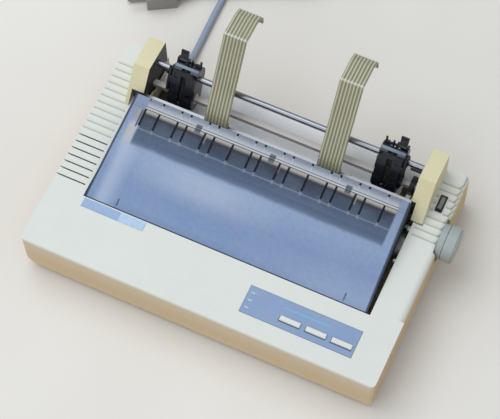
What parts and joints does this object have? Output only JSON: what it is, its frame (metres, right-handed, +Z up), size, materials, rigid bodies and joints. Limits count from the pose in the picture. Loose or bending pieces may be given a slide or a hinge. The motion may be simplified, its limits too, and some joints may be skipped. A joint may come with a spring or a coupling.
{
  "type": "dot matrix printer",
  "caption": "Compact desktop dot matrix printer with a smoked hinged cover, side knob, pin tractors, rear paper arms and a mains lead.",
  "frame": {"origin": "middle of the printer's box at the level of the table under its feet, without the lead", "axes": "+X to the operator's right along the platen, +Y to the back, +Z up"},
  "size_m": [0.4309, 0.4989, 0.1562],
  "materials": {
    "casing_cream": "fine textured",
    "base_tan": "fine textured",
    "black_rubber": "matte",
    "zinc_screw": "plated",
    "smoked_cover": "translucent smoke",
    "panel_blue": "printed film",
    "button_white": "smooth",
    "lamp_green": "clear tinted",
    "badge_blue": "smooth",
    "frame_cream": "satin",
    "plated_steel": "satin",
    "platen_rubber": "fine ground",
    "bright_steel": "ground",
    "gear_white": "moulded",
    "knob_grey": "moulded",
    "brass_pinion": "cut",
    "chute_white": "moulded",
    "cap_cream": "fine textured",
    "chromed_shaft": "polished",
    "arm_grey": "ribbed",
    "black_plastic": "moulded",
    "head_black": "black anodised",
    "belt_rubber": "moulded",
    "board_green": "lacquered laminate",
    "core_steel": "varnished",
    "rocker_grey": "smooth",
    "lead_grey": "extruded flexible plastic",
    "plug_grey": "moulded",
    "tractor_black": "moulded"
  },
  "bodies": {
    "casing": {"upper_casing": "casing_cream", "lower_casing": "base_tan", "rubber_feet": "black_rubber", "casing_screws": "zinc_screw", "control_panel": "panel_blue", "status_lamps": "lamp_green", "badge_plates": "badge_blue", "side_plate_left": "frame_cream", "side_plate_right": "frame_cream", "cross_beam": "plated_steel", "feed_motor": "plated_steel", "paper_chute": "chute_white", "end_cap_left": "cap_cream", "end_cap_right": "cap_cream", "round_shaft": "chromed_shaft", "guide_rail": "bright_steel", "paper_arm_left": "arm_grey", "paper_arm_right": "arm_grey", "carriage_shaft": "bright_steel", "carriage_belt": "belt_rubber", "carriage_motor": "plated_steel", "circuit_boards": "board_green", "transformer": "core_steel", "power_switch": "black_plastic", "interface_socket": "black_plastic", "strain_relief": "black_plastic", "mains_lead": "lead_grey", "lead_coil": "lead_grey", "mains_plug": "plug_grey"},
    "cover": {"access_cover": "smoked_cover"},
    "key_1": {"button_1": "button_white"},
    "key_2": {"button_2": "button_white"},
    "key_3": {"button_3": "button_white"},
    "platen": {"platen_roller": "platen_rubber", "platen_shaft": "bright_steel", "platen_gear": "gear_white", "platen_knob": "knob_grey"},
    "idler": {"idler_gear": "gear_white"},
    "pinion": {"feed_pinion": "brass_pinion"},
    "tractor_drive": {"square_shaft": "bright_steel", "tractor_gear": "black_plastic"},
    "bail": {"bail_frame": "plated_steel"},
    "bail_wheels": {"bail_rollers": "platen_rubber"},
    "tractor_left": {"tractor_frame_left": "tractor_black", "pin_belt_left": "belt_rubber"},
    "door_left": {"tractor_door_left": "tractor_black"},
    "lever_left": {"tractor_lever_left": "tractor_black"},
    "wheel_left": {"sprocket_left": "gear_white"},
    "tractor_right": {"tractor_frame_right": "tractor_black", "pin_belt_right": "belt_rubber"},
    "door_right": {"tractor_door_right": "tractor_black"},
    "lever_right": {"tractor_lever_right": "tractor_black"},
    "wheel_right": {"sprocket_right": "gear_white"},
    "carriage_unit": {"carriage": "black_plastic", "print_head": "head_black", "ribbon_cartridge": "black_plastic"},
    "belt_drive": {"drive_pulley": "gear_white"},
    "belt_idler": {"idler_pulley": "gear_white"},
    "rocker": {"power_rocker": "rocker_grey"}
  },
  "joints": [
    {"name": "cover_hinge", "type": "hinge", "parent": "casing", "child": "cover", "pos_m": [-0.00605, 0.03895, 0.0725], "axis": [-1, 0, 0], "range_deg": [0, 70]},
    {"name": "key_1_press", "type": "slide", "parent": "casing", "child": "key_1", "axis": [0, 0, -1], "range_m": [0, 0.0012], "stiffness_N_per_m": 300, "springref_m": -0.001},
    {"name": "key_2_press", "type": "slide", "parent": "casing", "child": "key_2", "axis": [0, 0, -1], "range_m": [0, 0.0012], "stiffness_N_per_m": 300, "springref_m": -0.001},
    {"name": "key_3_press", "type": "slide", "parent": "casing", "child": "key_3", "axis": [0, 0, -1], "range_m": [0, 0.0012], "stiffness_N_per_m": 300, "springref_m": -0.001},
    {"name": "platen_turn", "type": "hinge", "parent": "casing", "child": "platen", "pos_m": [-0.00605, 0.03245, 0.0465], "axis": [1, 0, 0], "continuous": true},
    {"name": "idler_turn", "type": "hinge", "parent": "casing", "child": "idler", "pos_m": [0.12995, 0.0553, 0.04973], "axis": [1, 0, 0], "continuous": true},
    {"name": "pinion_turn", "type": "hinge", "parent": "casing", "child": "pinion", "pos_m": [0.12995, 0.01716, 0.03199], "axis": [1, 0, 0], "continuous": true},
    {"name": "tractor_drive_turn", "type": "hinge", "parent": "casing", "child": "tractor_drive", "pos_m": [-0.00605, 0.06895, 0.06], "axis": [1, 0, 0], "continuous": true},
    {"name": "bail_lift", "type": "hinge", "parent": "casing", "child": "bail", "pos_m": [-0.00605, 0.01445, 0.058], "axis": [1, 0, 0], "range_deg": [0, 14]},
    {"name": "bail_wheels_turn", "type": "hinge", "parent": "bail", "child": "bail_wheels", "pos_m": [-0.00605, 0.03845, 0.06326], "axis": [1, 0, 0], "continuous": true},
    {"name": "tractor_left_slide", "type": "slide", "parent": "casing", "child": "tractor_left", "axis": [1, 0, 0], "range_m": [-0.008, 0.014]},
    {"name": "door_left_open", "type": "hinge", "parent": "tractor_left", "child": "door_left", "pos_m": [-0.13135, 0.07152, 0.0862], "axis": [0, -0.4734, -0.8809], "range_deg": [0, 100]},
    {"name": "lever_left_lock", "type": "hinge", "parent": "tractor_left", "child": "lever_left", "pos_m": [-0.12305, 0.08738, 0.09429], "axis": [1, 0, 0], "range_deg": [0, 45]},
    {"name": "wheel_left_turn", "type": "hinge", "parent": "tractor_left", "child": "wheel_left", "pos_m": [-0.11605, 0.06895, 0.06], "axis": [1, 0, 0], "continuous": true},
    {"name": "tractor_right_slide", "type": "slide", "parent": "casing", "child": "tractor_right", "axis": [1, 0, 0], "range_m": [-0.024, 0.004]},
    {"name": "door_right_open", "type": "hinge", "parent": "tractor_right", "child": "door_right", "pos_m": [0.11925, 0.07152, 0.0862], "axis": [0, 0.4734, 0.8809], "range_deg": [0, 100]},
    {"name": "lever_right_lock", "type": "hinge", "parent": "tractor_right", "child": "lever_right", "pos_m": [0.11095, 0.08738, 0.09429], "axis": [1, 0, 0], "range_deg": [0, 45]},
    {"name": "wheel_right_turn", "type": "hinge", "parent": "tractor_right", "child": "wheel_right", "pos_m": [0.10395, 0.06895, 0.06], "axis": [1, 0, 0], "continuous": true},
    {"name": "carriage_slide", "type": "slide", "parent": "casing", "child": "carriage_unit", "axis": [1, 0, 0], "range_m": [-0.004, 0.2]},
    {"name": "belt_drive_turn", "type": "hinge", "parent": "casing", "child": "belt_drive", "pos_m": [-0.13205, -0.03955, 0.033], "axis": [0, 0, 1], "continuous": true},
    {"name": "belt_idler_turn", "type": "hinge", "parent": "casing", "child": "belt_idler", "pos_m": [0.11995, -0.03955, 0.033], "axis": [0, 0, 1], "continuous": true},
    {"name": "rocker_tilt", "type": "hinge", "parent": "casing", "child": "rocker", "pos_m": [0.16315, 0.06365, 0.0555], "axis": [1, 0, 0], "range_deg": [0, 14]}
  ],
  "couplings": [
    {"joint": "idler_turn", "follows": "platen_turn", "ratio": -1.875},
    {"joint": "pinion_turn", "follows": "platen_turn", "ratio": -2.5},
    {"joint": "tractor_drive_turn", "follows": "platen_turn", "ratio": 1.6667},
    {"joint": "wheel_left_turn", "follows": "platen_turn", "ratio": 1.6667},
    {"joint": "wheel_right_turn", "follows": "platen_turn", "ratio": 1.6667},
    {"joint": "bail_wheels_turn", "follows": "platen_turn", "ratio": -3.0698},
    {"joint": "belt_drive_turn", "follows": "carriage_slide", "rad_per_m": -147.06},
    {"joint": "belt_idler_turn", "follows": "carriage_slide", "rad_per_m": -147.06}
  ]
}
